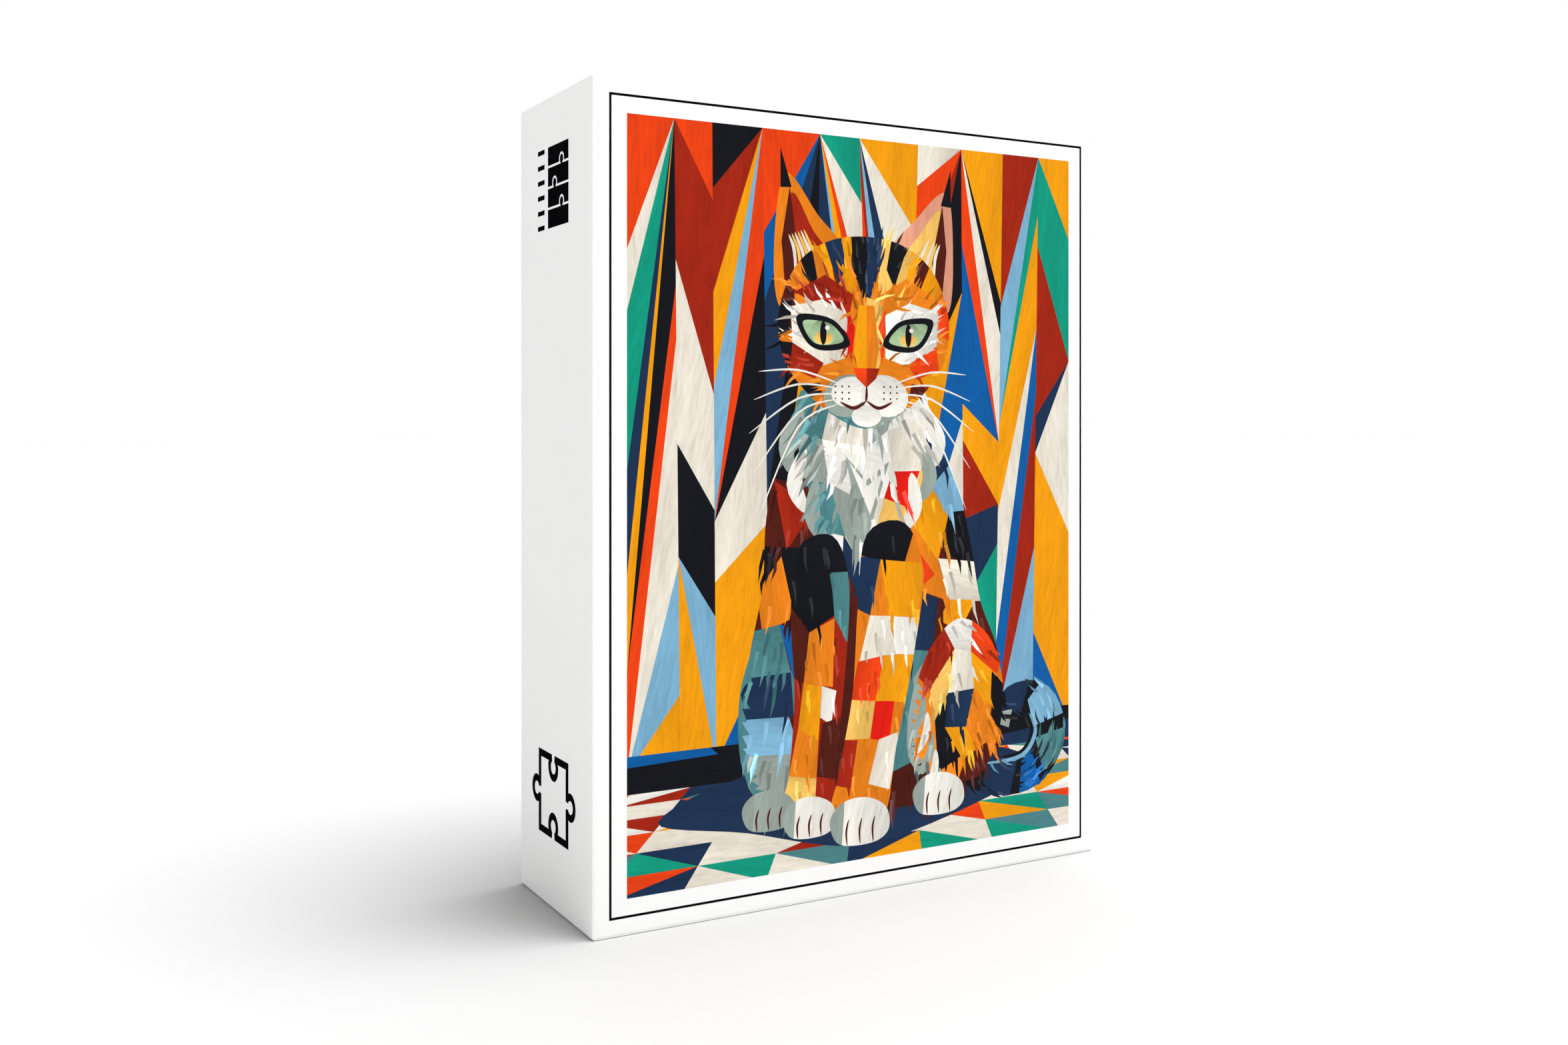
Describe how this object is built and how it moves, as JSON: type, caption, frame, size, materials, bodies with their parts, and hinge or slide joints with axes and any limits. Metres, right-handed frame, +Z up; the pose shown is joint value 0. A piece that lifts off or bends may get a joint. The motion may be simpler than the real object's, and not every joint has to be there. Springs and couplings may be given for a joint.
{
  "type": "boxed jigsaw puzzle",
  "caption": "Upright two-part rigid puzzle box with a framed picture panel, holding a film bag of jigsaw pieces and a folded poster.",
  "frame": {"origin": "centre of the foot on which the closed box stands", "axes": "+Z up along the box's height, -Y out of the picture panel, X along its width"},
  "size_m": [0.201, 0.067, 0.27],
  "materials": {
    "lid_paper": "white litho paper, satin laminate, printed picture panel",
    "base_paper": "white litho paper, satin laminate",
    "greyboard": "recycled greyboard, raw, speckled",
    "stay_paper": "brown gummed paper tape",
    "bag_film": "clear polyethylene film, creased",
    "piece_board": "die-cut jigsaw board, printed face, blue-grey back",
    "poster_paper": "coated paper, printed on one side",
    "print_red": "die-cut jigsaw board, printed linen-embossed face",
    "print_amber": "die-cut jigsaw board, printed linen-embossed face",
    "print_blue": "die-cut jigsaw board, printed linen-embossed face",
    "print_black": "die-cut jigsaw board, printed linen-embossed face",
    "print_green": "die-cut jigsaw board, printed linen-embossed face",
    "print_cream": "die-cut jigsaw board, printed linen-embossed face",
    "print_sky": "die-cut jigsaw board, printed linen-embossed face",
    "print_brown": "die-cut jigsaw board, printed linen-embossed face"
  },
  "bodies": {
    "base": {"base_board": "greyboard", "base_wrap": "base_paper", "base_corner_stay_1": "stay_paper", "base_corner_stay_2": "stay_paper", "base_corner_stay_3": "stay_paper", "base_corner_stay_4": "stay_paper"},
    "lid": {"lid_board": "greyboard", "lid_wrap": "lid_paper", "lid_corner_stay_1": "stay_paper", "lid_corner_stay_2": "stay_paper", "lid_corner_stay_3": "stay_paper", "lid_corner_stay_4": "stay_paper"},
    "poster": {"picture_poster": "poster_paper"},
    "bag": {"piece_bag": "bag_film", "loose_piece_heap": "piece_board", "jigsaw_piece_01": "print_red", "jigsaw_piece_02": "print_black", "jigsaw_piece_03": "print_sky", "jigsaw_piece_04": "print_amber", "jigsaw_piece_05": "print_green", "jigsaw_piece_06": "print_brown", "jigsaw_piece_07": "print_blue", "jigsaw_piece_08": "print_cream", "jigsaw_piece_09": "print_red", "jigsaw_piece_10": "print_black", "jigsaw_piece_11": "print_sky", "jigsaw_piece_12": "print_amber", "jigsaw_piece_13": "print_green", "jigsaw_piece_14": "print_brown", "jigsaw_piece_15": "print_blue", "jigsaw_piece_16": "print_cream", "jigsaw_piece_17": "print_red", "jigsaw_piece_18": "print_black", "jigsaw_piece_19": "print_sky", "jigsaw_piece_20": "print_amber", "jigsaw_piece_21": "print_green", "jigsaw_piece_22": "print_brown", "jigsaw_piece_23": "print_blue", "jigsaw_piece_24": "print_cream", "jigsaw_piece_25": "print_red", "jigsaw_piece_26": "print_black", "jigsaw_piece_27": "print_sky", "jigsaw_piece_28": "print_amber", "jigsaw_piece_29": "print_green", "jigsaw_piece_30": "print_brown"}
  },
  "joints": [
    {"name": "lid_slide", "type": "slide", "parent": "base", "child": "lid", "axis": [0, -1, 0], "range_m": [0, 0.18]},
    {"name": "poster_slide", "type": "slide", "parent": "base", "child": "poster", "axis": [0, -1, 0], "range_m": [0, 0.108]},
    {"name": "bag_slide", "type": "slide", "parent": "base", "child": "bag", "axis": [0, -1, 0], "range_m": [0, 0.072]}
  ],
  "couplings": [
    {"joint": "poster_slide", "follows": "lid_slide", "ratio": 0.6},
    {"joint": "bag_slide", "follows": "lid_slide", "ratio": 0.4}
  ]
}
